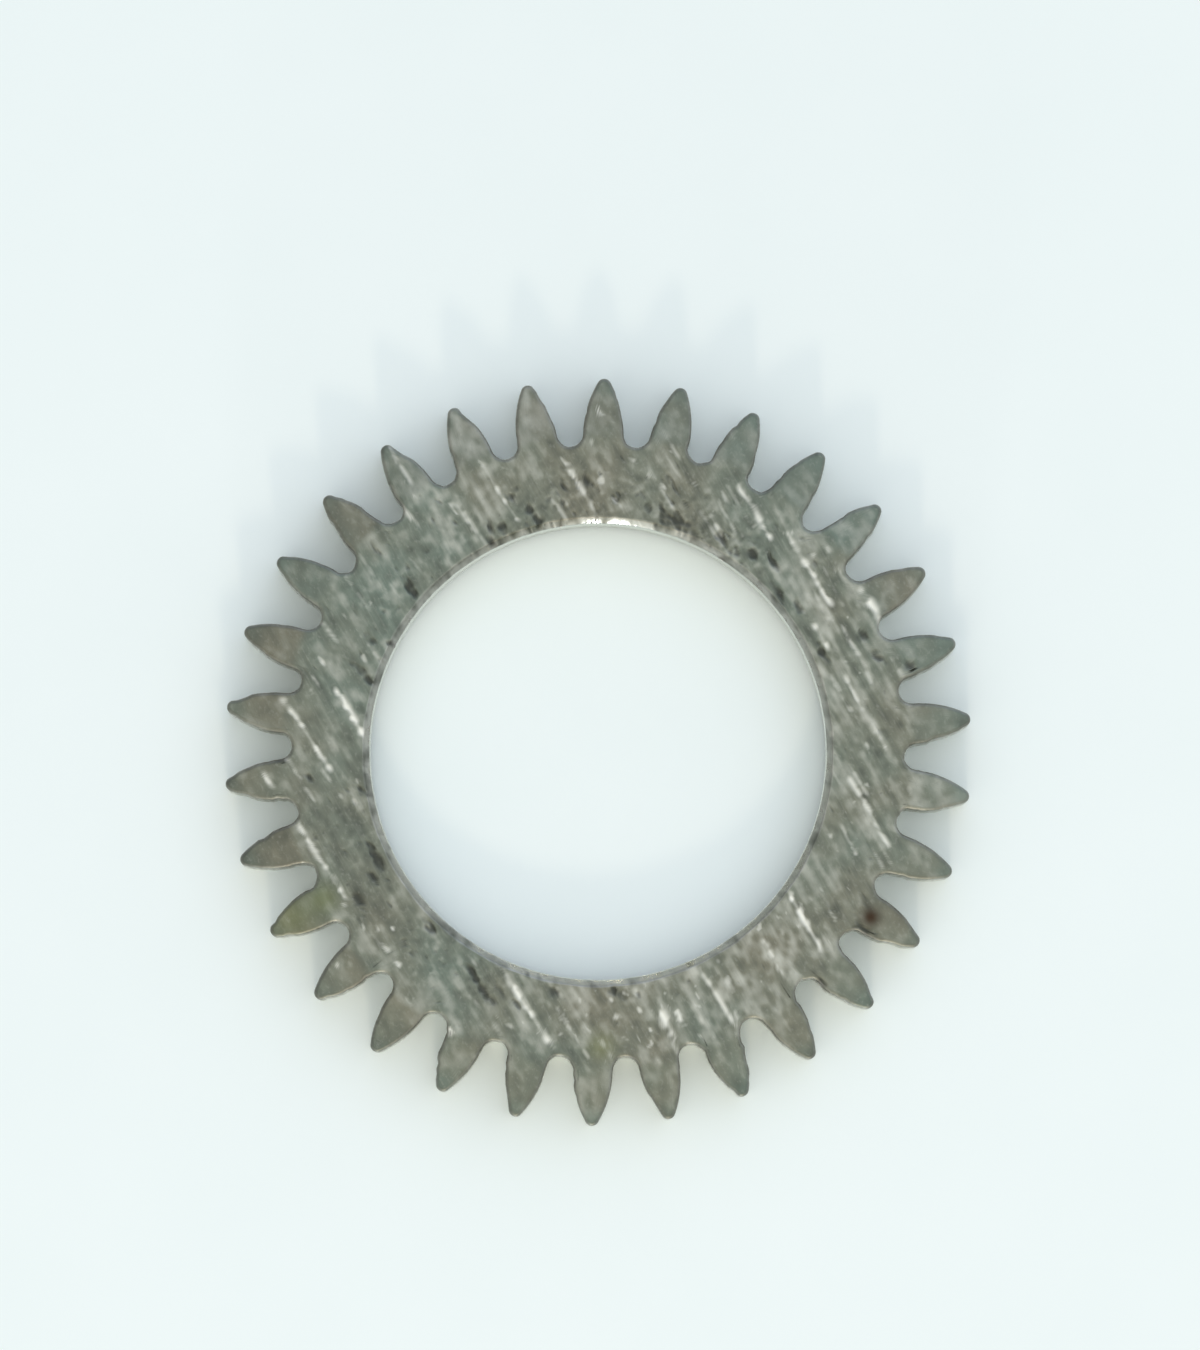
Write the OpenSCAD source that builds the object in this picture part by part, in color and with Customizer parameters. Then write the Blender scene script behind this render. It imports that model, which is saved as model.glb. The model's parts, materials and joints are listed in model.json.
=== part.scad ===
// Crown wheel from the winding work of a small watch: a flat steel ring, cut from one turned blank,
// with pointed, round-tipped teeth all round its rim and a wide plain bore on which it turns.
// It lies on its underside, with the bore axis along +Z, one tooth on +Y and the origin at the
// middle of the bore's lower end. Millimetres and degrees.

/* [Ring] */
// Diameter over the tooth tips
outside_d = 5; // [4.3:0.05:6]
// Diameter of the plain bore
bore_d = 3.05; // [2.4:0.01:3.8]
// Thickness of the ring between its two flat faces
thickness = 0.5; // [0.3:0.02:0.9]
// Chamfer at both ends of the bore
bore_chamfer = 0.045; // [0.01:0.005:0.08]

/* [Teeth] */
// Number of teeth
tooth_count = 30; // [24:1:40]
// Height of a tooth, from the bottom of the gaps to the tips
tooth_h = 0.45; // [0.3:0.01:0.6]
// Width of a tooth at its foot, where the flanks leave the gap
tooth_w = 0.27; // [0.18:0.005:0.34]
// Radius of the rounded tooth tip
tip_r = 0.048; // [0.02:0.002:0.08]

/* [Tooth tops] */
// How far the flat upper face reaches past the bottom of the gaps, before the tooth tops fall away
face_reach = 0.06; // [0:0.01:0.3]
// How far the tooth tops fall from the flat face to the tips
top_fall = 0.04; // [0.01:0.005:0.1]

/* [Hidden] */

$fn = 144;
steel_colour = [0.5, 0.52, 0.47];

// How far an arc runs into the next one, so that the two cross and don't only touch
run_in = 0.0005;
// How far a cutting shape reaches past what it cuts
past = 0.2;

outside_r = outside_d / 2;
bore_r = bore_d / 2;
root_r = outside_r - tooth_h;
face_r = root_r + face_reach;

// Half the angle between two teeth, and half a tooth's width at its foot
half_pitch = 180 / tooth_count;
half_w = tooth_w / 2;

// Distance from the wheel's centre to a tooth's foot, measured along the tooth. There both flanks run
// parallel to the tooth, and the round bottom of the gap touches the flanks on its two sides.
foot_r = (root_r - half_w) / (1 / cos(half_pitch) - tan(half_pitch));
// Round bottom of a gap
gap_r = foot_r * tan(half_pitch) - half_w + run_in;
gap_centre_r = root_r + gap_r;
// Height of the foot along the middle of the gap
gap_foot_r = foot_r * cos(half_pitch) + half_w * sin(half_pitch);

// Middle of the round tip, its height above the foot, and the slightly smaller round that the flanks touch
tip_centre_r = outside_r - tip_r;
tip_rise = tip_centre_r - foot_r;
touch_r = tip_r - run_in;
// Each flank is one arc, which starts along the tooth at the foot and ends along the round tip
flank_r = (half_w * half_w - touch_r * touch_r + tip_rise * tip_rise) / (2 * (half_w - touch_r));
flank_offset = flank_r - half_w;
// Where the flanks end and the round tip begins, as a distance from the wheel's centre
tip_start_x = flank_offset * touch_r / (flank_r - touch_r);
tip_start_y = tip_centre_r + tip_rise * touch_r / (flank_r - touch_r);
tip_start_r = norm([tip_start_x, tip_start_y]);

// The two flanks of a tooth would meet in a point above its tip. The disc that the gaps are cut from
// ends a third of the way to that point, and the gaps' own edges end two thirds of the way.
point_r = foot_r + sqrt(flank_r * flank_r - flank_offset * flank_offset);
disc_r = outside_r + (point_r - outside_r) / 3;
gap_edge_r = outside_r + (point_r - outside_r) * 2 / 3;

// Copies of a shape at every tooth, beginning turn degrees from +Y
module at_each_tooth(turn = 0) {
    for (i = [0 : tooth_count - 1])
        rotate(turn + i * 2 * half_pitch)
            children();
}

// The disc whose edge is one flank of the tooth on +Y: side 1 for the left flank, -1 for the right
module flank_disc(side) {
    translate([side * flank_offset, foot_r])
        circle(r = flank_r);
}

// The gap between two teeth, with its middle on +Y: a round bottom, open outwards between two flanks
module gap_outline() {
    translate([0, gap_centre_r])
        circle(r = gap_r);
    difference() {
        polygon([
            [gap_foot_r * tan(half_pitch), gap_foot_r],
            [gap_edge_r * sin(half_pitch), gap_edge_r * cos(half_pitch)],
            [0, gap_edge_r + past],
            [-gap_edge_r * sin(half_pitch), gap_edge_r * cos(half_pitch)],
            [-gap_foot_r * tan(half_pitch), gap_foot_r]
        ]);
        rotate(half_pitch)
            flank_disc(-1);
        rotate(-half_pitch)
            flank_disc(1);
    }
}

// Everything inside the round tips: a disc up to where they begin, and the round of each tip
module tip_envelope() {
    circle(r = tip_start_r);
    at_each_tooth()
        translate([0, tip_centre_r])
            circle(r = tip_r);
}

// The toothed outline of the wheel, without its bore
module toothed_outline() {
    intersection() {
        difference() {
            circle(r = disc_r);
            at_each_tooth(half_pitch)
                gap_outline();
        }
        tip_envelope();
    }
}

// The turned blank: a bored disc with a flat upper face, cut off slantwise over the teeth
module turned_blank() {
    blank_r = outside_r + past;
    blank_fall = top_fall * (blank_r - face_r) / (outside_r - face_r);
    rotate_extrude()
        polygon([
            [bore_r + bore_chamfer, 0],
            [blank_r, 0],
            [blank_r, thickness - blank_fall],
            [face_r, thickness],
            [bore_r + bore_chamfer, thickness],
            [bore_r, thickness - bore_chamfer],
            [bore_r, bore_chamfer]
        ]);
}

// The whole wheel: the blank with the gaps between its teeth cut through
module crown_wheel() {
    color(steel_colour)
        intersection() {
            turned_blank();
            translate([0, 0, -past])
                linear_extrude(thickness + 2 * past)
                    toothed_outline();
        }
}

crown_wheel();
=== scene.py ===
"""Looks of the crown wheel: a worn steel ring with thirty pointed teeth, lying on pale paper.

The wheel is one closed surface worked out from two parameters: how far round the wheel, and how far
round the ring's cross-section. Lapping scratches, pits and worn edges are part of that surface.
"""

import json
import math

import bpy
import numpy as np
from mathutils import Matrix, Vector


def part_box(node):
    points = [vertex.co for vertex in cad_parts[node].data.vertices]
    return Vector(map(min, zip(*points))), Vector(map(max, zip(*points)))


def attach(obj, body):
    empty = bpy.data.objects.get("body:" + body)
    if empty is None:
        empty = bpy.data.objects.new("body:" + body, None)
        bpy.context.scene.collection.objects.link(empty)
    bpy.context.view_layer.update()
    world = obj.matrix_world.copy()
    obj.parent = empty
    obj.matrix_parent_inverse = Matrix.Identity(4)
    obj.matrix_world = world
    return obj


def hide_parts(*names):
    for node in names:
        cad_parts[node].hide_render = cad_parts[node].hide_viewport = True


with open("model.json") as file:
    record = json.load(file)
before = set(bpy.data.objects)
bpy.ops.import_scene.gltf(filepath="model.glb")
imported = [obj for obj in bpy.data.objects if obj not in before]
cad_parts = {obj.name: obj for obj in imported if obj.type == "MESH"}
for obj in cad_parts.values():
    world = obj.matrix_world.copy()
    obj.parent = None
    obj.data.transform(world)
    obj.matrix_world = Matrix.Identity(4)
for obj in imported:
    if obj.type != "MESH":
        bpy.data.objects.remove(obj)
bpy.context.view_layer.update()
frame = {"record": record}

MM = 0.001
MICRON = 0.000001

# Sizes that the frame gives, in millimetres
mounts = {mount["name"]: mount for mount in frame["record"]["mounts"]}
high_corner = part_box("crown_wheel")[1]
OUTSIDE_R = high_corner.y / MM
THICKNESS = high_corner.z / MM
BORE_R = mounts["bore"]["dims"]["r_mm"]
TOOTH_COUNT = mounts["teeth"]["dims"]["count"]

# Form of the teeth and edges, in millimetres, as the solid has it
TOOTH_H = 0.45
TOOTH_W = 0.27
TIP_R = 0.048
BORE_CHAMFER = 0.045
FACE_REACH = 0.06
TOP_FALL = 0.04

# Worn edges: how far the rounding of the upper edge reaches in, and how far it drops; and underneath
EDGE_REACH = 0.028
EDGE_DROP = 0.018
LOWER_EDGE_R = 0.012
# How deep the outline is nicked by wear, and how far from the tips the nicks end
NICK_DEPTH = 0.012
NICK_END = 0.06

# The wheel was lapped one way: this is the direction of the scratches, anticlockwise from +X
LAP_ANGLE = math.radians(-60)
# How much that direction turns for each millimetre to the left of x = LAP_SWING_X
LAP_SWING = math.radians(1.5)
LAP_SWING_X = 1.5
# How much single scratches stray from it, in radians
LAP_STRAY = 0.03
# The photograph shows the wheel turned clockwise by this much, and the marks below are placed as seen there
PHOTO_TURN = math.radians(0.96)

# Bold scratches on the upper face: middle x, middle y, length (mm) and boldness
SCRATCHES = [
    (-1.64, 0.24, 0.42, 1.1),
    (-1.95, 0.12, 0.60, 0.9),
    (-1.66, -0.26, 0.24, 0.3),
    (-1.32, 1.92, 0.31, 0.5),
    (-1.26, 1.58, 0.25, 0.6),
    (-0.89, 1.58, 0.30, 0.6),
    (-0.66, 1.74, 0.48, 0.7),
    (-0.13, 1.78, 0.41, 0.7),
    (0.79, 1.51, 0.17, 0.6),
    (0.86, 1.57, 0.26, 0.35),
    (1.05, 1.60, 0.42, 0.9),
    (1.23, 1.55, 0.10, 0.4),
    (1.41, 1.22, 0.58, 0.9),
    (1.40, 0.90, 0.20, 0.3),
    (1.60, 1.25, 0.30, 0.3),
    (1.49, 0.77, 0.20, 0.8),
    (1.74, 0.64, 0.46, 0.5),
    (1.71, 0.39, 0.26, 0.6),
    (1.88, 0.09, 0.20, 0.8),
    (1.98, 0.59, 0.23, 0.4),
    (1.83, 0.99, 0.28, 1.0),
    (1.86, 0.94, 0.20, 2.0),
    (1.81, -0.40, 0.54, 0.7),
    (1.68, -0.60, 0.24, 0.5),
    (1.38, -1.14, 0.44, 1.3),
    (1.18, -1.38, 0.31, 0.7),
    (0.79, -1.62, 0.45, 0.7),
    (0.47, -1.82, 0.21, 1.5),
    (-0.47, -1.71, 0.64, 1.0),
    (-1.85, -0.73, 0.63, 0.8),
    (-2.22, -0.19, 0.13, 0.8),
    (-1.00, -1.87, 0.05, 0.9),
]
# Faint scratches between them: how many, and how far from the middle they may lie, in x and in y
FAINT_SCRATCHES = 150
FAINT_REACH = 2.1
# A scratch's half width, the length over which its ends fade, and how far it wanders sideways
SCRATCH_HALF_W = 0.018
SCRATCH_FADE = 0.06
SCRATCH_WANDER = 0.02
# How deep scratches, pits and the streaks of the lapping are sunk
SCRATCH_DEPTH = 0.0025
PIT_DEPTH = 0.009
STREAK_DEPTH = 0.0015
# Cells of the lattice that random hills are made on
LATTICE = (256, 512)
# How strongly each pattern changes how light the metal is
STREAK_TONE = 0.34
LONG_STREAK_TONE = 0.16
GRAIN_TONE = 0.44
CRUMB_TONE = 0.55
TOOTH_TONE = 0.11
PATCH_TONE = 0.06

# Patches where the upper face is pitted and dark: middle x, middle y, radius (mm) and strength
PITTED = [
    (-0.38, 1.62, 0.28, 1.0),
    (0.05, 1.75, 0.25, 0.6),
    (0.48, 1.60, 0.32, 0.9),
    (0.98, 1.36, 0.26, 0.9),
    (-1.05, 1.45, 0.25, 0.5),
    (-1.43, 0.95, 0.40, 0.5),
    (-1.53, -0.53, 0.35, 0.6),
    (-0.78, -1.56, 0.14, 1.0),
    (-1.13, -1.40, 0.30, 0.6),
    (0.20, -1.62, 0.25, 0.4),
]
# The larger pits: middle x, middle y, length and width (mm)
PITS = [
    (-0.40, 1.55, 0.09, 0.05),
    (-0.46, 1.62, 0.09, 0.04),
    (-0.58, 1.70, 0.08, 0.03),
    (-0.73, 1.49, 0.08, 0.04),
    (-0.64, 1.49, 0.06, 0.04),
    (-0.72, 1.41, 0.07, 0.03),
    (-0.23, 1.78, 0.06, 0.03),
    (-0.07, 1.81, 0.07, 0.03),
    (0.44, 1.58, 0.10, 0.06),
    (0.51, 1.53, 0.10, 0.05),
    (0.60, 1.48, 0.12, 0.05),
    (0.82, 1.42, 0.08, 0.04),
    (1.02, 1.41, 0.08, 0.03),
    (1.03, 1.33, 0.08, 0.04),
    (1.17, 1.27, 0.09, 0.03),
    (1.21, 1.06, 0.09, 0.04),
    (1.33, 0.98, 0.08, 0.03),
    (1.49, 0.68, 0.08, 0.04),
    (1.76, 0.77, 0.06, 0.05),
    (1.86, 0.64, 0.05, 0.04),
    (2.09, 0.57, 0.07, 0.05),
    (-1.25, 1.09, 0.08, 0.04),
    (-1.53, 0.77, 0.10, 0.04),
    (-1.55, 0.51, 0.10, 0.04),
    (-1.39, 0.73, 0.06, 0.04),
    (-1.58, -0.26, 0.08, 0.04),
    (-1.49, -0.69, 0.11, 0.04),
    (-1.51, -0.83, 0.08, 0.04),
    (-1.60, -1.00, 0.07, 0.03),
    (-1.94, -0.17, 0.06, 0.05),
    (-0.83, -1.49, 0.09, 0.04),
    (-0.76, -1.61, 0.10, 0.04),
    (-0.71, -1.67, 0.07, 0.03),
    (-1.11, -1.21, 0.10, 0.04),
    (0.16, -1.64, 0.06, 0.04),
    (-0.31, -1.59, 0.06, 0.04),
    (-0.54, -1.68, 0.07, 0.03),
    (0.09, -1.60, 0.06, 0.04),
    (1.74, -1.17, 0.05, 0.04),
    (1.79, -1.20, 0.05, 0.05),
    (1.85, -1.23, 0.04, 0.04),
    (1.49, -1.53, 0.05, 0.03),
    (-2.12, -0.06, 0.05, 0.03),
]
# Flecks of bare metal, painted bright as glints, that stand apart from the scratches: middle x, middle y,
# size (mm) and strength
GLINT_FLECKS = [
    (0.01, 2.28, 0.035, 0.8),
    (-0.80, 1.95, 0.030, 0.5),
    (0.23, 1.95, 0.040, 0.7),
    (0.34, 1.85, 0.035, 0.7),
    (0.44, 1.77, 0.040, 0.7),
    (0.48, 2.01, 0.030, 0.4),
    (0.57, 1.91, 0.035, 0.4),
    (0.65, 1.79, 0.045, 0.5),
    (1.30, 1.46, 0.035, 0.6),
    (0.11, 1.68, 0.040, 0.7),
    (-0.98, 1.65, 0.035, 0.6),
    (1.43, 1.31, 0.035, 0.6),
    (1.76, 1.10, 0.030, 0.8),
    (1.80, 0.04, 0.030, 0.6),
    (1.55, 0.12, 0.040, 0.8),
    (1.55, -0.57, 0.030, 0.6),
    (1.72, -0.66, 0.050, 0.6),
    (1.49, -0.92, 0.040, 0.6),
    (2.16, -0.39, 0.040, 0.7),
    (-1.85, 0.61, 0.045, 0.8),
    (-1.70, 0.91, 0.035, 0.5),
    (-1.52, 0.98, 0.040, 0.6),
    (-1.56, 0.62, 0.040, 0.5),
    (-1.92, 0.41, 0.030, 0.5),
    (-2.07, 0.11, 0.030, 0.6),
    (-1.61, -0.20, 0.035, 0.5),
    (-1.63, -0.33, 0.040, 0.5),
    (-1.96, -0.75, 0.035, 0.6),
    (-0.99, -1.87, 0.050, 1.0),
    (-0.58, -1.83, 0.040, 0.6),
    (-0.46, -1.93, 0.040, 0.5),
    (0.12, -1.77, 0.050, 0.8),
    (0.49, -1.88, 0.055, 0.9),
    (0.35, -1.86, 0.030, 0.8),
    (0.80, -1.40, 0.045, 0.6),
    (0.88, -1.56, 0.060, 0.6),
    (0.93, -1.76, 0.050, 0.6),
    (1.13, -1.29, 0.045, 0.6),
    (-0.12, -1.66, 0.035, 0.7),
    (0.08, -1.65, 0.040, 0.7),
    (0.24, -1.61, 0.040, 0.7),
    (0.28, -1.72, 0.040, 0.7),
    (-0.05, -1.88, 0.035, 0.7),
    (-0.25, -1.79, 0.035, 0.6),
    (0.54, -1.76, 0.055, 0.9),
    (0.02, 1.82, 0.040, 0.6),
    (-0.04, 2.07, 0.035, 0.5),
    (-0.24, 1.95, 0.040, 0.5),
    (-1.70, -1.02, 0.035, 0.7),
    (-1.57, -1.17, 0.040, 0.7),
    (-1.47, -1.18, 0.035, 0.6),
    (-1.37, -1.18, 0.040, 0.8),
    (-1.40, -1.32, 0.045, 0.8),
    (-1.33, -1.43, 0.045, 0.8),
    (-1.74, -1.43, 0.040, 0.8),
    (-1.17, -1.02, 0.030, 0.6),
    (-0.97, -1.32, 0.035, 0.6),
    (-1.67, -1.17, 0.030, 0.6),
]
# Patches where the face is lighter, or darker where the strength is below 0, with more flecks where it is
# lighter
BRIGHT = [
    (0.45, -1.75, 0.45, 0.9),
    (1.20, -1.30, 0.40, 0.7),
    (1.40, 0.95, 0.50, 0.35),
    (1.75, -0.10, 0.45, 0.4),
    (-0.95, 1.62, 0.30, 0.5),
    (-0.35, -1.80, 0.30, 0.5),
    (-1.30, 2.00, 0.45, 0.6),
    (-2.20, -0.10, 0.50, -0.5),
    (-1.70, -0.75, 0.50, -0.4),
    (-1.75, 0.10, 0.35, -0.5),
    (-1.25, 1.25, 0.40, -0.4),
]
# Patches where long streaks of the lapping still show
STREAKED = [
    (1.35, 1.15, 0.60, 1.0),
    (1.70, 0.30, 0.45, 0.7),
    (-0.60, -1.65, 0.40, 0.9),
    (-1.00, 1.65, 0.40, 0.6),
    (-1.70, -0.55, 0.40, 0.4),
]
# Patches of warmer, browner tarnish, and of cooler, greener tarnish (negative)
TARNISH = [
    (1.45, -1.30, 0.55, 0.5),
    (0.10, -1.80, 0.55, 0.9),
    (-1.95, -0.25, 0.35, 0.8),
    (-1.40, 1.20, 0.60, -0.5),
    (-1.70, 0.45, 0.45, -0.4),
    (-1.15, -1.50, 0.45, -0.2),
    (1.30, 1.50, 0.50, -0.5),
    (0.05, 1.75, 0.55, 0.8),
]
# How warm each tooth is, clockwise from +Y: 1 is brown, and below 0 is greenish
TOOTH_WARMTH = [
    0.5, 0.3, 0.3, -0.3, -0.3, 0.7, -0.2, 0.3, 0.0, 0.2, 0.5, 0.5, 0.5, 0.3, 0.4,
    0.3, 0.4, 0.5, 0.7, 0.9, 0.4, 0.9, 0.6, 0.7, 0.9, -0.1, 0.6, 0.3, 0.4, 0.7,
]
# How light each tooth is, clockwise from +Y: 1 is worn bright, and below 0 is dark
TOOTH_LIGHT = [
    0.2, 0.0, 0.2, 0.1, 0.6, 0.1, 0.1, -0.5, 1.0, 0.3, -0.2, -0.6, -0.4, -0.6, -0.2,
    0.4, -0.2, 0.1, -0.6, 0.0, -0.3, -0.9, 0.1, 0.2, -0.3, -0.3, -0.3, 0.3, 1.0, 1.2,
]
# Where the bore's upper chamfer is made brighter and smoother: a painted highlight at the top, broken by a
# negative strength, and some painted light low down; middle x, middle y, radius (mm) and strength
PAINTED_CHAMFER_HIGHLIGHT = [(0.08, 1.54, 0.20, 0.75), (0.040, 1.54, 0.018, -1.2), (0.15, -1.55, 0.14, 0.2)]

# How strong that is from the bore outwards, across the chamfer
PAINTED_HIGHLIGHT_ACROSS = (1.05, 0.5)
# How bright the chamfer is by itself, partly its clean metal and partly painted light against the shade of
# its tilt; how much duller at the top, as painted shade; and the painted light it gains across itself
CHAMFER_METAL_AND_PAINTED_LIGHT = 0.6
CHAMFER_TOP_PAINTED_SHADE = 0.3
CHAMFER_PAINTED_LIGHT_ACROSS = (0.2, -0.05)
# How far the lower end of the rounded outer edge is lightened towards cut metal: partly the cut metal,
# partly painted light against the edge's shade
EDGE_METAL_AND_PAINTED_LIGHT = 0.55
# How far in from a tooth's edge it is darkened
DARK_EDGE = 0.035

# Stains: middle x, middle y and radius (mm)
RUST_SPOT = (1.82, -1.11, 0.068)
OLIVE_STAINS = [(0.02, -1.97, 0.09), (-2.05, -1.11, 0.16), (-1.83, -0.98, 0.10)]

# Grid of the wheel's surface: columns round half a tooth, and rows round the cross-section
TIP_COLUMNS, FLANK_COLUMNS, GAP_COLUMNS = 4, 10, 6
BORE_ROWS, CHAMFER_ROWS, FACE_ROWS, EDGE_ROWS, WALL_ROWS, UNDER_ROWS = 2, 3, 64, 5, 1, 1
# Edges sharper than this aren't smoothed over in the shading
SHARP_ANGLE = math.radians(60)
# Where the chamfers' rows lie, as parts of their width
CHAMFER_PARTS = np.linspace(0.15, 0.85, CHAMFER_ROWS - 1)

# Framing: the photograph is 1200 by 1350; the wheel's middle and scale were measured there, in pixels
FRAME_W, FRAME_H = 1200, 1350
WHEEL_PIXEL = (598.0, 751.5)
PIXELS_PER_MM = 149.6
# A long lens: its distance and sensor in millimetres, and how far it leans to the front
CAMERA_DISTANCE = 80.0
SENSOR_MM = 36.0
CAMERA_TILT = math.radians(2.5)

# Light: an even part, and soft panels by azimuth, elevation, sharpness, strength and colour
ROOM_LIGHT = 0.30
PANELS = [
    (0, 90, 6.0, 0.86, "#FFFFFC"),
    (-25, 50, 5.0, 0.80, "#FFFFFF"),
    (90, 50, 5.0, 0.60, "#F2F8FF"),
    (165, 50, 5.0, 0.82, "#C8D8FF"),
]
# Lamps: name, azimuth, elevation, distance and width (mm), power (W) and colour
LAMPS = [
    ("front_window", 4, 32, 60, 7, 0.0046, "#FFEBD2"),
    ("low_window", -2, 6, 60, 6, 0.0040, "#FFFFFF"),
]
# Half the side of the square of paper, in metres
PAPER_HALF = 0.5

rng = np.random.default_rng(30)


def tooth_form():
    """Works out the arcs of one tooth from its height, width and tip radius.

    At the foot the flanks run along the tooth and meet the round gap bottoms, whose middle is on the
    line between two teeth. A flank is one arc from there to the round tip, touching both.
    """
    half_pitch = math.pi / TOOTH_COUNT
    half_w = TOOTH_W / 2
    root_r = OUTSIDE_R - TOOTH_H
    foot_r = (root_r - half_w) / (1 / math.cos(half_pitch) - math.tan(half_pitch))
    gap_x = foot_r * math.tan(half_pitch)
    rise = OUTSIDE_R - TIP_R - foot_r
    flank_r = (half_w**2 - TIP_R**2 + rise**2) / (2 * (half_w - TIP_R))
    return half_pitch, half_w, foot_r, gap_x, rise, flank_r


def half_tooth():
    """The outline from a tooth's tip to the bottom of the gap beside it, as points and outward normals.

    Three arcs, each middle plus radius times a unit vector that turns evenly: the tip and the flank
    bulge outwards, and the gap's bottom is hollow, so its normals point to its middle.
    """
    half_pitch, half_w, foot_r, gap_x, rise, flank_r = tooth_form()
    flank_offset = flank_r - half_w
    flank_end = math.atan2(rise, flank_offset)

    tip_turn = np.linspace(math.pi / 2, flank_end, TIP_COLUMNS, endpoint=False)
    tip_normal = np.stack([np.cos(tip_turn), np.sin(tip_turn)], axis=1)
    tip = np.array([0, OUTSIDE_R - TIP_R]) + TIP_R * tip_normal

    flank_turn = np.linspace(flank_end, 0, FLANK_COLUMNS, endpoint=False)
    flank_normal = np.stack([np.cos(flank_turn), np.sin(flank_turn)], axis=1)
    flank = np.array([-flank_offset, foot_r]) + flank_r * flank_normal

    gap_turn = np.linspace(math.pi, 1.5 * math.pi - half_pitch, GAP_COLUMNS + 1)
    gap_spoke = np.stack([np.cos(gap_turn), np.sin(gap_turn)], axis=1)
    gap = np.array([gap_x, foot_r]) + (gap_x - half_w) * gap_spoke
    return np.concatenate([tip, flank, gap]), np.concatenate([tip_normal, flank_normal, -gap_spoke])


def turned(points, angles):
    """Copies of 2-D points, each copy turned anticlockwise by one of the angles."""
    cos, sin = np.cos(angles)[:, None], np.sin(angles)[:, None]
    x, y = points[:, 0][None, :], points[:, 1][None, :]
    return np.stack([x * cos - y * sin, x * sin + y * cos], axis=2).reshape(-1, 2)


def whole_outline():
    """The closed toothed outline, clockwise from the gap before the tooth on +Y: points and normals.

    One tooth is the half tooth mirrored, followed by the half tooth itself, and it is repeated round
    the wheel. The two ends of a tooth are the gaps' bottoms, and only one of them is kept.
    """
    points, normals = half_tooth()
    flip = np.array([-1.0, 1.0])
    tooth = np.concatenate([(points * flip)[:0:-1], points])[1:]
    tooth_normals = np.concatenate([(normals * flip)[:0:-1], normals])[1:]
    angles = -2 * math.pi * np.arange(TOOTH_COUNT) / TOOTH_COUNT
    return turned(tooth, angles), turned(tooth_normals, angles)


def smooth_step(value):
    """0 below 0 and 1 above 1, with a smooth S between."""
    value = np.clip(value, 0, 1)
    return value * value * (3 - 2 * value)


def along_and_across(x, y, middle_x, middle_y, angle):
    """Distances of points from a middle, along a direction and across it."""
    dx, dy = x - middle_x, y - middle_y
    return dx * np.cos(angle) + dy * np.sin(angle), -dx * np.sin(angle) + dy * np.cos(angle)


def hills(x, y, length, width):
    """Smooth random hills from 0 to 1, stretched along the lapping.

    Random values on a lattice of cells, length by width in millimetres, blended smoothly in between.
    """
    along, across = along_and_across(x, y, 0, 0, LAP_ANGLE)
    column, row = along / length, across / width
    first_column, first_row = np.floor(column).astype(int), np.floor(row).astype(int)
    part_column, part_row = smooth_step(column - first_column), smooth_step(row - first_row)
    lattice = rng.random(LATTICE)

    def value(step_column, step_row):
        columns = (first_column + step_column) % LATTICE[0]
        return lattice[columns, (first_row + step_row) % LATTICE[1]]

    near = value(0, 0) + part_column * (value(1, 0) - value(0, 0))
    far = value(0, 1) + part_column * (value(1, 1) - value(0, 1))
    return near + part_row * (far - near)


def patches(x, y, places):
    """The sum of soft round patches: each is its strength in the middle, and falls off like a bell."""
    field = np.zeros_like(x)
    for middle_x, middle_y, radius, strength in places:
        field += strength * np.exp(-((x - middle_x) ** 2 + (y - middle_y) ** 2) / radius**2)
    return field


def scratch_glint_field(x, y, on_tooth):
    """How strongly each point lies in a scratch of bare metal, from 0 to 1, which is also painted bright as
    glints.

    A scratch is a bell curve across its line, faded at both ends, and its strength and width wander
    along it, so that its painted brightness reads as a row of glints. The many faint ones are weaker on the
    teeth.
    """
    field = np.zeros_like(x)
    faint = [
        (*rng.uniform(-FAINT_REACH, FAINT_REACH, 2), rng.uniform(0.08, 0.45), rng.uniform(0.15, 0.4))
        for _ in range(FAINT_SCRATCHES)
    ]
    # Painted glints: beads along each scratch that vary its brightness and width
    glint_beads = 0.6 * hills(x, y, 0.05, 0.06) + 0.4 * hills(x, y, 0.03, 0.03)
    glint_beads = smooth_step((glint_beads - 0.30) / 0.40)
    wander = hills(x, y, 0.3, 0.3)
    for places, hold in ((SCRATCHES, 1.0), (faint, 1 - 0.6 * on_tooth)):
        for middle_x, middle_y, length, boldness in places:
            angle = LAP_ANGLE + LAP_SWING * (LAP_SWING_X - middle_x) + rng.normal(0, LAP_STRAY)
            width = SCRATCH_HALF_W * (0.5 + 0.5 * boldness)
            along, across = along_and_across(x, y, middle_x, middle_y, angle)
            ends = smooth_step((length / 2 - np.abs(along)) / SCRATCH_FADE + 0.5)
            across = across + SCRATCH_WANDER * (wander - 0.5)
            profile = np.exp(-((across / (width * (0.65 + 0.6 * glint_beads))) ** 2))
            strength = np.minimum(boldness * (0.25 + 0.75 * glint_beads), 1)
            field = np.maximum(field, hold * strength * ends * profile)
    return field


def fleck_glint_field(x, y, brightness, on_tooth):
    """Small bright flecks of bare metal, painted bright as glints, with ragged edges.

    The tops of short hills, more of them where the face is lighter and fewer on the teeth, and the placed
    flecks, each a bell stretched along the lapping and broken up by the same hills.
    """
    level = 0.5 * hills(x, y, 0.06, 0.03) + 0.5 * hills(x, y, 0.028, 0.022)
    field = 0.45 * smooth_step((level - 0.80 + 0.16 * brightness) / 0.26) * (1 - 0.4 * on_tooth)
    for middle_x, middle_y, size, strength in GLINT_FLECKS:
        along, across = along_and_across(x, y, middle_x, middle_y, LAP_ANGLE)
        bell = np.exp(-((along / size) ** 2 + (across / (0.6 * size)) ** 2))
        field = np.maximum(field, 0.85 * strength * smooth_step((0.7 * bell + level - 0.78) / 0.6))
    return field


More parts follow.
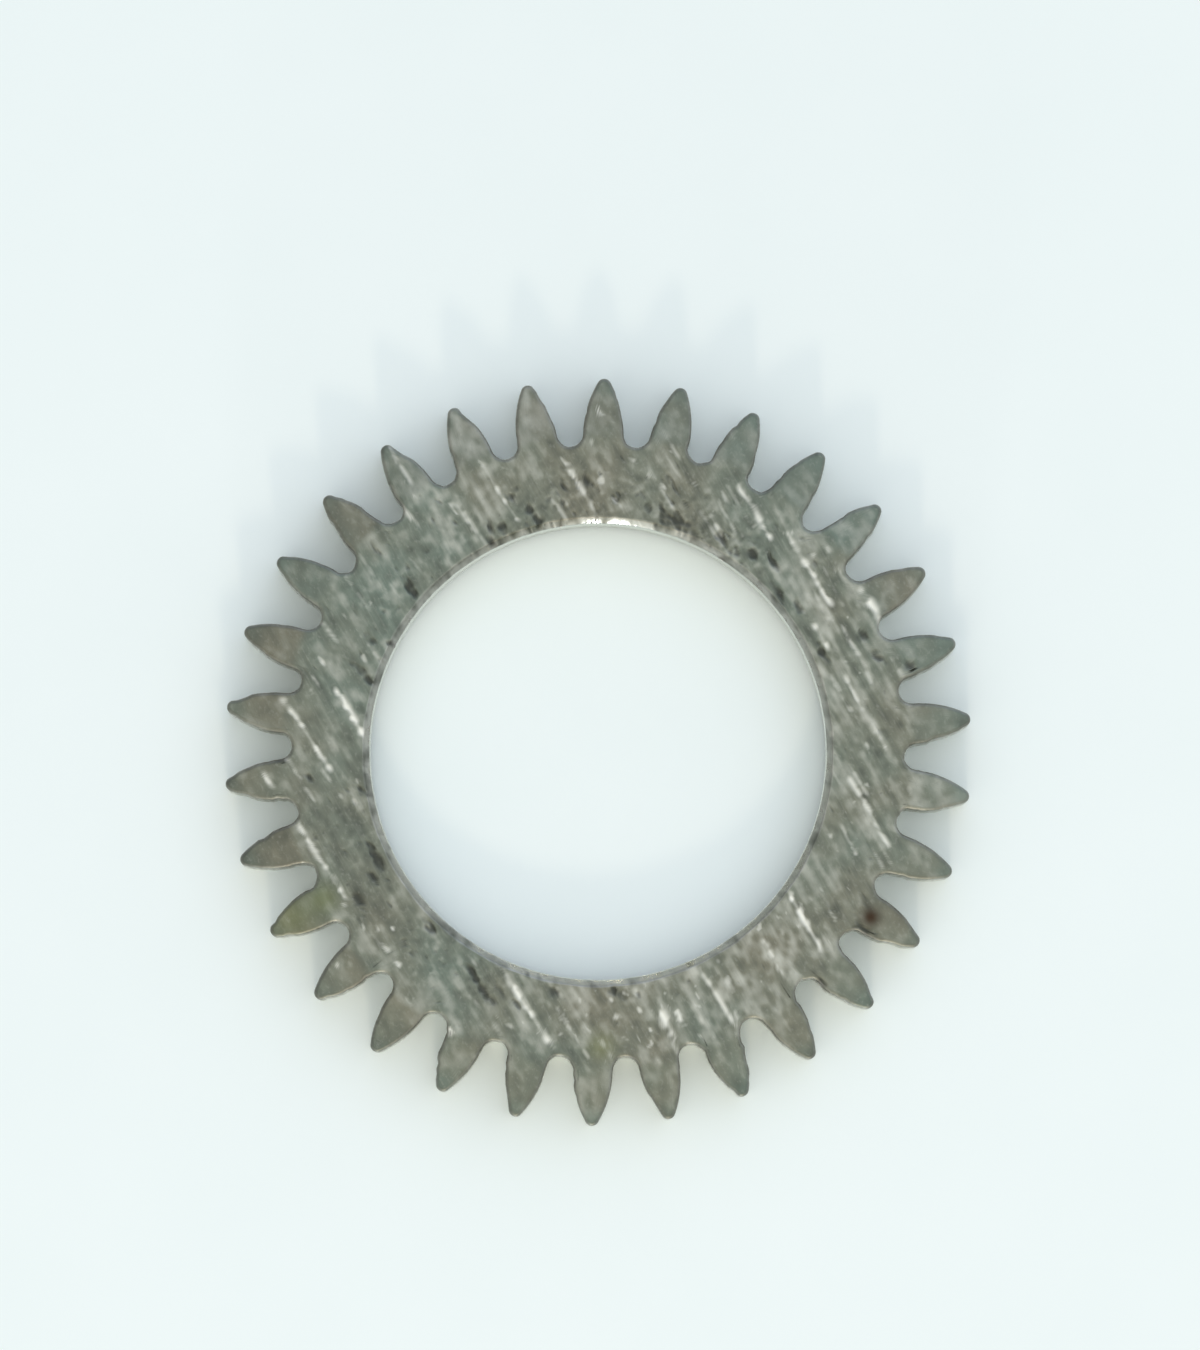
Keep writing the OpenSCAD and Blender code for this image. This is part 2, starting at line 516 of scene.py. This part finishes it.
def pit_field(x, y, pitted, on_tooth):
    """Small dark pits with ragged edges.

    The tops of short hills, more of them in the pitted patches and fewer on the teeth, and the placed
    pits, each a bell stretched along the lapping and broken up by the same hills.
    """
    level = 0.5 * hills(x, y, 0.09, 0.035) + 0.5 * hills(x, y, 0.034, 0.02)
    field = 0.7 * smooth_step((level - 0.80 + 0.18 * pitted) / 0.22) * (1 - 0.8 * on_tooth)
    for middle_x, middle_y, length, width in PITS:
        along, across = along_and_across(x, y, middle_x, middle_y, LAP_ANGLE)
        bell = np.exp(-((along / length) ** 2 + (across / width) ** 2))
        field = np.maximum(field, smooth_step((0.75 * bell + level - 0.85) / 0.5))
    return field


def tooth_depth(x, y):
    """How far each point lies inside the toothed outline.

    Measured in the nearest tooth's own axes: from a flank's arc above the foot, from the round gap
    below it, and from the round tip near the top, whichever is least.
    """
    half_pitch, half_w, foot_r, gap_x, rise, flank_r = tooth_form()
    radius, turn = np.hypot(x, y), np.arctan2(x, y)
    turn = (turn + half_pitch) % (2 * half_pitch) - half_pitch
    across, along = np.abs(radius * np.sin(turn)), radius * np.cos(turn) - foot_r
    from_flank = flank_r - np.hypot(across + flank_r - half_w, along)
    from_gap = np.hypot(across - gap_x, along) - (gap_x - half_w)
    from_tip = TIP_R - np.hypot(across, along - rise)
    past_flank = along * (flank_r - half_w) > (across + flank_r - half_w) * rise
    return np.where(along < 0, from_gap, np.where(past_flank, from_tip, from_flank))


def polar(points):
    """Distance from the axis, and the clockwise angle from +Y, of 2-D points."""
    return np.hypot(points[:, 0], points[:, 1]), np.arctan2(points[:, 0], points[:, 1])


def wheel_surface():
    """The wheel's closed surface, as a grid of points: rows round the section, columns round the wheel.

    Each column is one closed cross-section: up the bore, over its chamfer, out along the upper face to
    the outline less the edge's reach, round the edge, down the wall, round the lower edge, back along
    the underside and over the lower chamfer. On the upper face a point's place runs evenly from the
    bore, where columns are evenly spaced, to the outline's own points. Returns the points in plan, their
    heights, the rows seen from above, and how far each point is bore or cut wall; on the rounded upper
    edge the cut wall's share is partly painted light.
    """
    outline, normals = whole_outline()
    count = len(outline)
    nicks = 0.5 * hills(*outline.T, 0.12, 0.10) + 0.5 * hills(*outline.T, 0.05, 0.04)
    nicks = smooth_step((nicks - 0.45) / 0.4)
    at_tip = smooth_step((polar(outline)[0] - OUTSIDE_R + NICK_END) / 0.05)
    outline = outline - (NICK_DEPTH * nicks * (1 - at_tip))[:, None] * normals
    outline_turn = polar(outline)[1]
    even_turn = 2 * np.pi * (np.arange(count) + 0.5 - count / TOOTH_COUNT / 2) / count
    even_turn = outline_turn + (even_turn - outline_turn + np.pi) % (2 * np.pi) - np.pi
    circle = np.stack([np.sin(even_turn), np.cos(even_turn)], axis=1)
    rim_r = BORE_R + BORE_CHAMFER
    root_r = OUTSIDE_R - TOOTH_H
    face_r = root_r + FACE_REACH

    def top_height(radius):
        return THICKNESS - TOP_FALL * np.clip((radius - face_r) / (OUTSIDE_R - face_r), 0, 1)

    rows, heights = [], []
    for z in np.linspace(BORE_CHAMFER, THICKNESS - BORE_CHAMFER, BORE_ROWS):
        rows.append(circle * BORE_R)
        heights.append(np.full(count, z))
    for part in CHAMFER_PARTS:
        rows.append(circle * (BORE_R + part * BORE_CHAMFER))
        heights.append(np.full(count, THICKNESS - (1 - part) * BORE_CHAMFER))

    inset = outline - EDGE_REACH * normals
    inset_r, inset_turn = polar(inset)
    inset_turn = even_turn + (inset_turn - even_turn + np.pi) % (2 * np.pi) - np.pi
    for part in np.linspace(0, 1, FACE_ROWS):
        radius = rim_r + part * (inset_r - rim_r)
        turn = even_turn + part * (inset_turn - even_turn)
        rows.append(np.stack([radius * np.sin(turn), radius * np.cos(turn)], axis=1))
        heights.append(top_height(radius))
    edge_top = heights[-1]
    for turn in np.linspace(0, np.pi / 2, EDGE_ROWS + 1)[1:]:
        rows.append(inset + EDGE_REACH * np.sin(turn) * normals)
        heights.append(edge_top - EDGE_DROP * (1 - np.cos(turn)))
    edge_last = len(rows)
    wall_top = heights[-1]
    for part in np.linspace(0, 1, WALL_ROWS + 1)[1:]:
        rows.append(outline)
        heights.append(wall_top + part * (LOWER_EDGE_R - wall_top))
    under = outline - LOWER_EDGE_R * normals
    for turn in np.linspace(0, np.pi / 2, EDGE_ROWS - 1)[1:]:
        rows.append(under + LOWER_EDGE_R * np.cos(turn) * normals)
        heights.append(LOWER_EDGE_R * (1 - np.sin(turn)) * np.ones(count))
    for part in np.linspace(0, 1, UNDER_ROWS + 1)[1:]:
        rows.append(under + part * (circle * rim_r - under))
        heights.append(np.zeros(count))
    for part in CHAMFER_PARTS:
        rows.append(circle * (rim_r - part * BORE_CHAMFER))
        heights.append(np.full(count, part * BORE_CHAMFER))

    plan = np.array(rows)
    height = np.array(heights)
    upper = slice(BORE_ROWS, edge_last)
    bore, wall = np.zeros(height.shape), np.zeros(height.shape)
    bore[:BORE_ROWS] = 1
    # The rounded upper edge turns towards cut metal at its lower end: partly the cut metal, partly painted
    # light against the edge's shade
    wall[edge_last - EDGE_ROWS:edge_last] = np.linspace(0, EDGE_METAL_AND_PAINTED_LIGHT, EDGE_ROWS)[:, None]
    wall[edge_last:-UNDER_ROWS - CHAMFER_ROWS + 1] = 1
    return plan, height, upper, bore, wall


def chamfer_metal_and_painted_light(plan, grain):
    """How much the bore's clean metal shows on the upper chamfer, for its rows of points: partly the metal,
    partly painted light.

    A constant, less at the top as painted shade and a little more to the right as painted light, broken up
    by the face's grain, with the painted highlight added, and falling off from the bore outwards.
    """
    x, y = plan[..., 0], plan[..., 1]
    painted_highlight = patches(x, y, PAINTED_CHAMFER_HIGHLIGHT) * np.linspace(*PAINTED_HIGHLIGHT_ACROSS, len(plan))[:, None]
    metal_and_light = CHAMFER_METAL_AND_PAINTED_LIGHT - CHAMFER_TOP_PAINTED_SHADE * np.clip(y / BORE_R, 0, 1) ** 4
    metal_and_light += 0.05 * x / BORE_R + 0.9 * (grain - 0.5) + painted_highlight
    return metal_and_light + np.linspace(*CHAMFER_PAINTED_LIGHT_ACROSS, len(plan))[:, None]


def surface_object(plan, height, fields):
    """The mesh over the grid of points, closed both ways round, with the fields stored at its points.

    Each face joins a point to the next column, the next row and the corner between them.
    """
    points = np.concatenate([plan, height[..., None]], axis=2).reshape(-1, 3) * MM
    index = np.arange(height.size).reshape(height.shape)
    next_row, next_column = np.roll(index, -1, axis=0), np.roll(index, -1, axis=1)
    corner = np.roll(next_row, -1, axis=1)
    quads = np.stack([index, next_column, corner, next_row], axis=2).reshape(-1, 4)

    mesh = bpy.data.meshes.new("worn_crown_wheel")
    mesh.from_pydata(points, [], quads)
    mesh.polygons.foreach_set("use_smooth", np.ones(len(quads), bool))
    for name, field in fields.items():
        attribute = mesh.attributes.new(name, "FLOAT", "POINT")
        attribute.data.foreach_set("value", field.ravel().astype(np.float32))
    mesh.update()
    mesh.set_sharp_from_angle(angle=SHARP_ANGLE)
    wheel = bpy.data.objects.new("worn_crown_wheel", mesh)
    bpy.context.scene.collection.objects.link(wheel)
    return wheel


def worn_wheel():
    """The wheel's mesh: the closed surface, with scratches and pits sunk into its upper face.

    What the finish needs is stored with the points: how light the metal is, how much bare metal painted
    bright as glints shows, how pitted and how warm, how near the edge of a tooth, and whether it is a
    tooth, the bore, a cut wall or a stain; the bore's share on the upper chamfer and the cut wall's on the
    rounded upper edge are partly painted light.
    """
    plan, height, upper, bore, wall = wheel_surface()
    shape = height[upper].shape
    seen = Matrix.Rotation(-PHOTO_TURN, 2)
    seen_plan = plan @ np.array(seen).T
    x, y = seen_plan[upper, :, 0].ravel(), seen_plan[upper, :, 1].ravel()
    all_x, all_y = plan[..., 0], plan[..., 1]
    all_radius = np.hypot(all_x, all_y)
    root_r = OUTSIDE_R - TOOTH_H

    # Where the teeth and their tips are
    tooth = smooth_step((all_radius - root_r - 0.03) / 0.07)
    on_tooth = tooth[upper].ravel()
    tip = smooth_step((all_radius - OUTSIDE_R + 0.16) / 0.12)
    # Patches of wear, and patterns of the lapping and of the metal's grain
    brightness, pitted = patches(x, y, BRIGHT), patches(x, y, PITTED)
    streaks = 0.6 * hills(x, y, 0.34, 0.048) + 0.4 * hills(x, y, 0.16, 0.033)
    long_streaks = 0.6 * hills(x, y, 0.45, 0.036) + 0.4 * hills(x, y, 0.25, 0.024)
    grain = 0.55 * hills(x, y, 0.095, 0.058) + 0.45 * hills(x, y, 0.050, 0.034)
    # Each tooth's own tone
    tooth_number = np.round(np.arctan2(all_x, all_y) / (2 * np.pi / TOOTH_COUNT)).astype(int)
    tooth_number = tooth_number % TOOTH_COUNT
    tooth_warmth = np.array(TOOTH_WARMTH)[tooth_number] - 0.25 - 0.6 * tip
    tooth_light = np.array(TOOTH_LIGHT)[tooth_number][upper].ravel()
    # How light the metal is: the streaks are weaker on the teeth and where it is pitted
    mottled = (GRAIN_TONE + 0.30 * np.clip(brightness, 0, 1)) * (1 - 0.15 * on_tooth)
    rough = np.clip(pitted, 0, 1)
    lapped = (1 - 0.8 * on_tooth) * (1 - 0.6 * rough)
    tone = STREAK_TONE * lapped * (streaks - 0.5) + mottled * (1 - 0.3 * rough) * (grain - 0.5)
    streaked = LONG_STREAK_TONE + 0.40 * patches(x, y, STREAKED)
    tone += (1 - on_tooth) * streaked * (1 - 0.6 * rough) * (long_streaks - 0.5)
    tone += PATCH_TONE * brightness - PATCH_TONE * pitted
    tone += TOOTH_TONE * on_tooth * tooth_light - PATCH_TONE * tip[upper].ravel()
    # Marks: the rust spot, bare metal painted bright as glints, pits, and the crumbly ground between the
    # pits
    rust = patches(x, y, [(*RUST_SPOT, 1.0)])
    scratch_glints = scratch_glint_field(x, y, on_tooth)
    fresh_glint = np.maximum(scratch_glints, fleck_glint_field(x, y, brightness, on_tooth)) * (1 - rust)
    pit = pit_field(x, y, pitted, on_tooth)
    crumbs = 0.5 * hills(x, y, 0.05, 0.05) + 0.5 * hills(x, y, 0.026, 0.026)
    tone += CRUMB_TONE * rough * (crumbs - 0.5)
    # The bore's upper chamfer: clean metal, painted light and a painted highlight, fading into the face's
    # first row, which is painted lighter where the chamfer's edge would shade it
    chamfer = slice(BORE_ROWS, BORE_ROWS + CHAMFER_ROWS - 1)
    bore[chamfer] = chamfer_metal_and_painted_light(seen_plan[chamfer], grain.reshape(shape)[:CHAMFER_ROWS - 1])
    bore[chamfer.stop] = 0.5 * bore[chamfer.stop - 1]
    ring_warmth = 0.7 * patches(seen_plan[..., 0], seen_plan[..., 1], TARNISH)

    sunk = np.maximum(SCRATCH_DEPTH * fresh_glint, PIT_DEPTH * pit)
    sunk -= STREAK_DEPTH * (streaks - 0.5) * (1 - on_tooth)
    height[upper] -= np.maximum(sunk, 0).reshape(shape)

    fields = {name: np.zeros(height.shape) for name in ("fresh_glint", "pit", "rust", "olive")}
    fields["tone"] = np.full(height.shape, 0.5)
    fields["tone"][upper] = (0.5 + tone).reshape(shape)
    fields["fresh_glint"][upper] = fresh_glint.reshape(shape)
    fields["pit"][upper] = pit.reshape(shape)
    fields["rust"][upper] = rust.reshape(shape)
    fields["olive"][upper] = patches(x, y, [(*stain, 1.0) for stain in OLIVE_STAINS]).reshape(shape)
    fields["tooth"] = tooth
    fields["bore"] = bore
    fields["wall"] = wall
    fields["warmth"] = 0.5 + 0.5 * (ring_warmth + tooth * (tooth_warmth - ring_warmth))
    fields["edge"] = np.exp(-((tooth_depth(all_x, all_y) / DARK_EDGE) ** 2)) * tooth
    return surface_object(plan, height, fields)


def linear(colour):
    """An sRGB hex colour, such as #8F9487, as the linear values that a shader takes."""
    channels = np.array([int(colour[i : i + 2], 16) for i in (1, 3, 5)]) / 255
    values = np.where(channels <= 0.04045, channels / 12.92, ((channels + 0.055) / 1.055) ** 2.4)
    return (*values.tolist(), 1.0)


def add(tree, kind, inputs=None, **settings):
    """Adds one node with its settings. An input is a plain value, or another node's output socket."""
    node = tree.nodes.new(kind)
    for name, value in settings.items():
        setattr(node, name, value)
    for name, value in (inputs or {}).items():
        if isinstance(value, bpy.types.NodeSocket):
            tree.links.new(value, node.inputs[name])
        else:
            node.inputs[name].default_value = value
    return node


def lapped_worn_steel():
    """Hardened steel, lapped flat one way on an abrasive, then worn, tarnished and pitted.

    To the eye: a dull warm grey with a greenish cast, fine streaks that all run one way, bright bare
    metal in the scratches painted as glints, dark pits, and smoother, browner teeth; the bore's chamfer
    carries painted light and a painted highlight, and the rounded edges some painted light.
    """
    material = bpy.data.materials.new("lapped worn steel")
    material.use_nodes = True
    tree = material.node_tree
    tree.nodes.clear()
    place = add(tree, "ShaderNodeTexCoord").outputs["Object"]

    def pattern(length, width, depth, detail):
        """Noise stretched along the lapping: length, width and depth of a streak in millimetres."""
        stretched = add(tree, "ShaderNodeMapping", {
            "Vector": place,
            "Rotation": (0, 0, LAP_ANGLE),
            "Scale": (length * MM, width * MM, depth * MM),
        }, vector_type="TEXTURE")
        noise = add(tree, "ShaderNodeTexNoise", {
            "Vector": stretched.outputs["Vector"],
            "Scale": 1.0,
            "Detail": detail,
        })
        return noise.outputs["Fac"]

    def spread(value, low, high, to_low=0.0, to_high=1.0):
        """Stretches a pattern's values from low..high to another range."""
        return add(tree, "ShaderNodeMapRange", {
            "Value": value, "From Min": low, "From Max": high, "To Min": to_low, "To Max": to_high,
        }).outputs["Result"]

    def mixed(factor, first, second):
        """One colour over another."""
        node = add(tree, "ShaderNodeMix", {0: factor}, data_type="RGBA")
        for slot, colour in ((6, first), (7, second)):
            if isinstance(colour, bpy.types.NodeSocket):
                tree.links.new(colour, node.inputs[slot])
            else:
                node.inputs[slot].default_value = linear(colour)
        return node.outputs[2]

    def times(first, second):
        """Two patterns multiplied."""
        return add(tree, "ShaderNodeMath", {0: first, 1: second}, operation="MULTIPLY").outputs[0]

    def field(name):
        """One of the wheel's own fields, stored with its points."""
        return add(tree, "ShaderNodeAttribute", attribute_name=name).outputs["Fac"]

    tarnish = pattern(0.5, 0.5, 0.5, 3)
    fine_streaks = pattern(0.22, 0.016, 0.22, 3)
    speckle = pattern(0.03, 0.022, 0.03, 2)
    cutter_marks = pattern(0.03, 0.03, 0.8, 3)
    bore_rings = pattern(1.5, 1.5, 0.03, 3)
    tooth, bore, wall, tone = field("tooth"), field("bore"), field("wall"), field("tone")
    ring = spread(tooth, 0, 1, 1, 0)
    warmth = add(tree, "ShaderNodeMath", {0: field("warmth"), 1: spread(tarnish, 0.3, 0.7, -0.3, 0.3)})

    colour = mixed(spread(warmth.outputs[0], 0.1, 0.9), "#6A7569", "#757464")
    # The bore's clean metal, which on its upper chamfer also stands for painted light and a painted
    # highlight
    bore_metal = mixed(spread(bore_rings, 0.35, 0.65), "#CCCEC5", "#E6E8E0")
    colour = mixed(bore, colour, bore_metal)
    colour = mixed(spread(tone, 0.5, 0.95), colour, "#B1B2A5")
    colour = mixed(spread(tone, 0.5, 0.05), colour, "#434740")
    colour = mixed(times(times(spread(fine_streaks, 0.52, 0.72), ring), 0.08), colour, "#B0B1A2")
    colour = mixed(times(times(spread(fine_streaks, 0.46, 0.28), ring), 0.10), colour, "#4C4F48")
    colour = mixed(times(spread(speckle, 0.55, 0.75), 0.18), colour, "#A3A598")
    colour = mixed(times(spread(speckle, 0.45, 0.25), 0.18), colour, "#585C53")
    colour = mixed(times(field("edge"), 0.12), colour, "#44473F")
    colour = mixed(times(field("olive"), 0.5), colour, "#6C7149")
    colour = mixed(times(field("rust"), 0.95), colour, "#38291D")
    colour = mixed(times(field("pit"), 0.9), colour, "#3C3E38")
    # Bare metal in the scratches and flecks, painted bright as glints
    colour = mixed(spread(field("fresh_glint"), 0.05, 1.0), colour, "#DADACD")
    # Cut metal on the walls, which on the rounded upper edge is partly painted light
    cut_metal = mixed(spread(cutter_marks, 0.35, 0.65), "#C6C6BC", "#E8E8E0")
    cut_metal = mixed(times(spread(tarnish, 0.48, 0.68), 0.4), cut_metal, "#9A9784")
    colour = mixed(wall, colour, cut_metal)

    height = add(tree, "ShaderNodeMath", {0: fine_streaks, 1: speckle}, operation="ADD").outputs[0]
    bump = add(tree, "ShaderNodeBump", {"Strength": 0.35, "Distance": 3 * MICRON, "Height": height})
    surface = add(tree, "ShaderNodeBsdfPrincipled", {
        "Base Color": colour,
        "Metallic": 1.0,
        "Roughness": spread(bore, 0.65, 1.0, 0.45, 0.2),
        "Normal": bump.outputs["Normal"],
    })
    add(tree, "ShaderNodeOutputMaterial", {"Surface": surface.outputs["BSDF"]})
    return material


def pale_paper():
    """Smooth white writing paper with a faint cool cast, matt, and very slightly uneven."""
    material = bpy.data.materials.new("pale paper")
    material.use_nodes = True
    tree = material.node_tree
    tree.nodes.clear()
    place = add(tree, "ShaderNodeTexCoord").outputs["Object"]
    cloud = add(tree, "ShaderNodeTexNoise", {"Vector": place, "Scale": 1 / (1.2 * MM), "Detail": 4.0})
    tone = add(tree, "ShaderNodeMix", {0: cloud.outputs["Fac"]}, data_type="RGBA")
    tone.inputs[6].default_value = linear("#ECF5F0")
    tone.inputs[7].default_value = linear("#F0F8F3")
    surface = add(tree, "ShaderNodeBsdfPrincipled", {
        "Base Color": tone.outputs[2],
        "Roughness": 0.9,
        "Specular IOR Level": 0.2,
    })
    add(tree, "ShaderNodeOutputMaterial", {"Surface": surface.outputs["BSDF"]})
    return material


def paper_floor():
    """A flat square of paper under the wheel."""
    mesh = bpy.data.meshes.new("paper")
    corners = [(x * PAPER_HALF, y * PAPER_HALF, 0) for x, y in ((-1, -1), (1, -1), (1, 1), (-1, 1))]
    mesh.from_pydata(corners, [], [(0, 1, 2, 3)])
    mesh.materials.append(pale_paper())
    floor = bpy.data.objects.new("paper", mesh)
    bpy.context.scene.collection.objects.link(floor)


def photo_camera():
    """A long lens almost straight above, leaning a little to the front and rolled as the photograph is."""
    data = bpy.data.cameras.new("camera")
    data.sensor_width = SENSOR_MM
    data.lens = SENSOR_MM * CAMERA_DISTANCE * PIXELS_PER_MM / FRAME_H
    data.clip_start = 0.001
    data.clip_end = 2.0
    right = (FRAME_W / 2 - WHEEL_PIXEL[0]) / PIXELS_PER_MM
    up = (WHEEL_PIXEL[1] - FRAME_H / 2) / PIXELS_PER_MM
    roll = Matrix.Rotation(PHOTO_TURN, 4, "Z")
    aim = roll @ Vector((right, up, THICKNESS))
    lean = Matrix.Rotation(CAMERA_TILT, 4, "X")
    back = roll @ lean @ Vector((0, 0, CAMERA_DISTANCE))
    camera = bpy.data.objects.new("camera", data)
    camera.matrix_world = Matrix.Translation((aim + back) * MM) @ roll @ lean
    bpy.context.scene.collection.objects.link(camera)
    bpy.context.scene.camera = camera


def towards(azimuth, elevation):
    """The unit vector to a place in the room, in degrees. Azimuth 0 is the front, and 90 the right."""
    turn, lift = math.radians(azimuth), math.radians(elevation)
    return Vector((math.sin(turn) * math.cos(lift), -math.cos(turn) * math.cos(lift), math.sin(lift)))


def lamp(name, azimuth, elevation, distance, size, power, colour):
    """A round soft lamp aimed at the wheel; angles in degrees, distance and size in millimetres."""
    data = bpy.data.lights.new(name, "AREA")
    data.shape = "DISK"
    data.size = size * MM
    data.energy = power
    data.color = linear(colour)[:3]
    to_lamp = towards(azimuth, elevation)
    light = bpy.data.objects.new(name, data)
    light.location = to_lamp * distance * MM
    light.rotation_euler = to_lamp.to_track_quat("Z", "Y").to_euler()
    bpy.context.scene.collection.objects.link(light)


def room_light():
    """Soft light from all round, with broad soft panels overhead, in front, on the right and behind.

    A panel is a lobe: the cosine of the angle to its middle, raised to a power and added to the rest.
    """
    world = bpy.data.worlds.new("soft room light")
    bpy.context.scene.world = world
    world.use_nodes = True
    tree = world.node_tree
    tree.nodes.clear()
    place = add(tree, "ShaderNodeTexCoord").outputs["Generated"]
    even = add(tree, "ShaderNodeBackground", {"Color": linear("#FFFFFF"), "Strength": ROOM_LIGHT})
    light = even.outputs[0]
    for azimuth, elevation, power, strength, colour in PANELS:
        facing = add(tree, "ShaderNodeVectorMath", {0: place, 1: towards(azimuth, elevation)},
                     operation="DOT_PRODUCT")
        lobe = add(tree, "ShaderNodeMath", {0: facing.outputs["Value"], 1: 0.0}, operation="MAXIMUM")
        lobe = add(tree, "ShaderNodeMath", {0: lobe.outputs[0], 1: power}, operation="POWER")
        lobe = add(tree, "ShaderNodeMath", {0: lobe.outputs[0], 1: strength}, operation="MULTIPLY")
        panel = add(tree, "ShaderNodeBackground", {"Color": linear(colour), "Strength": lobe.outputs[0]})
        light = add(tree, "ShaderNodeAddShader", {0: light, 1: panel.outputs[0]}).outputs[0]
    add(tree, "ShaderNodeOutputWorld", {"Surface": light})


photo_camera()
room_light()
for values in LAMPS:
    lamp(*values)
paper_floor()

wheel = worn_wheel()
wheel.data.materials.append(lapped_worn_steel())
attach(wheel, "root")
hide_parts("crown_wheel")

bpy.context.scene.view_settings.view_transform = "Standard"
